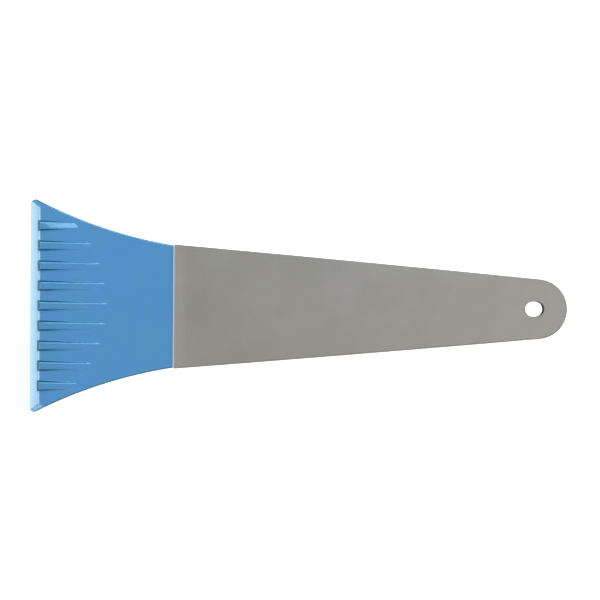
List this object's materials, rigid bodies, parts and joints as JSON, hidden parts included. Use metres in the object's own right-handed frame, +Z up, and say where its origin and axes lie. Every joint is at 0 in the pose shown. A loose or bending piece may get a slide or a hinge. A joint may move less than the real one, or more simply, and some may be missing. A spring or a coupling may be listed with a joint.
{
  "type": "windshield ice scraper",
  "caption": "Flared blue blade head with a bevelled edge and tapering ice-breaking ribs, its tang screwed inside a flat tapered grey handle with a round tail and a hanging hole.",
  "frame": {"origin": "on the plane of the handle's back face, under the middle of the scraper's length and width", "axes": "+X from the blade's edge to the hanging hole, +Y across the blade, +Z up out of the ribbed face"},
  "size_m": [0.252, 0.1, 0.012],
  "materials": {
    "head_plastic": "gloss, slightly see-through",
    "handle_plastic": "fine satin grain",
    "screw_steel": "zinc plated"
  },
  "bodies": {
    "root": {"scraper_head": "head_plastic", "front_shell": "handle_plastic", "back_shell": "handle_plastic", "shell_screws": "screw_steel"}
  },
  "joints": []
}
